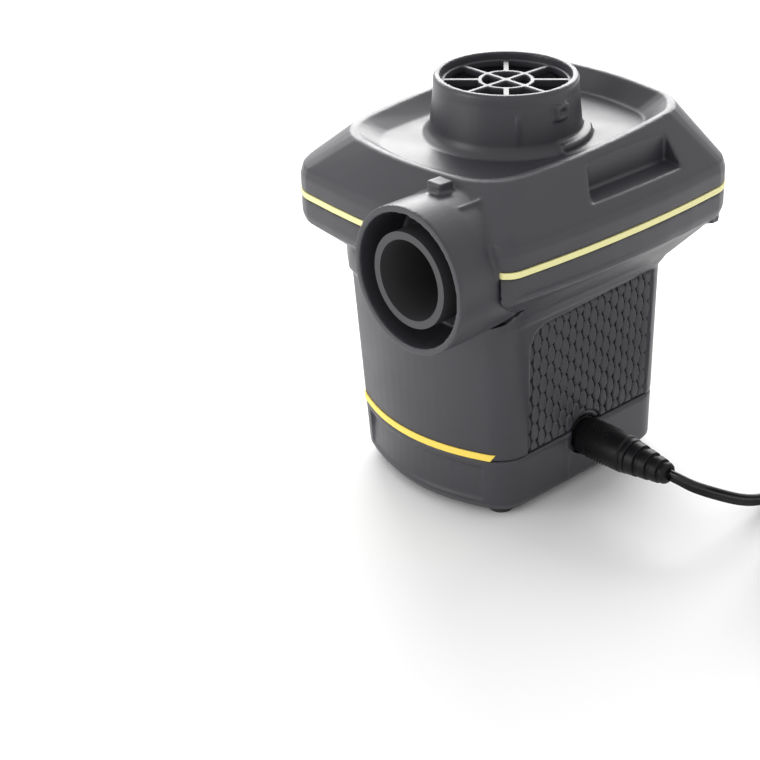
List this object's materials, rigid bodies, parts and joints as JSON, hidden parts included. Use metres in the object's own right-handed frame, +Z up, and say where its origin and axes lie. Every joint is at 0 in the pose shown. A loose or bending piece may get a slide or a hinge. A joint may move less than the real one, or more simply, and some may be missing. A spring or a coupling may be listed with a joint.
{
  "type": "electric air mattress pump",
  "caption": "Hand-held electric blower with a wide head, a round inlet collar on top, an outlet barrel at the front, side grip panels and a low-voltage adaptor lead.",
  "frame": {"origin": "on the ground in the middle of the four feet, on the axis of the inlet collar and motor", "axes": "+Z up along the inlet and motor axis, -Y the front where the outlet barrel points, +X the side where the power lead plugs in"},
  "size_m": [0.1936, 0.1735, 0.1345],
  "materials": {
    "charcoal_shell": "fine moulded texture, charcoal grey",
    "yellow_trim": "smooth yellow",
    "grip_black": "moulded scale texture",
    "black_plastic": "moulded black",
    "white_plastic": "natural white",
    "red_plastic": "red",
    "cord_black": "flexible black vinyl",
    "black_rubber": "soft black",
    "steel": "zinc plated",
    "can_steel": "drawn and plated",
    "core_steel": "stacked laminations",
    "copper": "enamelled copper",
    "ferrite": "ferrite",
    "brass": "plain",
    "carbon": "graphite",
    "ceramic": "dipped ceramic",
    "nickel": "nickel plated"
  },
  "bodies": {
    "housing": {"upper_housing": "charcoal_shell", "lower_housing": "charcoal_shell", "base_cover": "charcoal_shell", "head_trim": "yellow_trim", "base_trim": "yellow_trim", "grip_panel_right": "grip_black", "grip_panel_left": "grip_black", "inlet_grille": "black_plastic", "fan_housing": "black_plastic", "fan_cover": "black_plastic", "inlet_seal": "black_rubber", "motor_can": "can_steel", "motor_magnets": "ferrite", "motor_end_cap": "white_plastic", "motor_bushes": "brass", "carbon_brushes": "carbon", "motor_terminals": "brass", "motor_damper": "black_rubber", "suppressor": "ceramic", "motor_screws": "steel", "fan_cover_screws": "steel", "housing_screws": "steel", "base_screws": "steel", "rubber_feet": "black_rubber", "switch_body": "black_plastic", "switch_terminals": "brass", "dc_socket": "black_plastic", "socket_contacts": "brass", "wire_red": "red_plastic", "wire_black": "cord_black"},
    "rotor": {"impeller": "black_plastic", "impeller_nut": "steel", "motor_shaft": "steel", "armature_core": "core_steel", "armature_windings": "copper", "commutator": "copper"},
    "rocker": {"switch_rocker": "red_plastic"},
    "plug": {"plug_tip": "nickel", "plug_overmould": "cord_black", "strain_relief": "cord_black", "power_cord": "cord_black", "cord_coil": "cord_black", "coil_tie": "black_plastic", "cord_tail": "cord_black", "adaptor_case": "black_plastic", "adaptor_lid": "black_plastic", "adaptor_gland": "cord_black", "adaptor_blades": "nickel"}
  },
  "joints": [
    {"name": "rotor_spin", "type": "hinge", "parent": "housing", "child": "rotor", "pos_m": [0, 0, 0.08], "axis": [0, 0, 1], "continuous": true},
    {"name": "rocker_tilt", "type": "hinge", "parent": "housing", "child": "rocker", "pos_m": [0, 0.0366, 0.055], "axis": [1, 0, 0], "range_deg": [0, 18]},
    {"name": "plug_slide", "type": "slide", "parent": "housing", "child": "plug", "axis": [1, 0, 0], "range_m": [0, 0.012]}
  ]
}
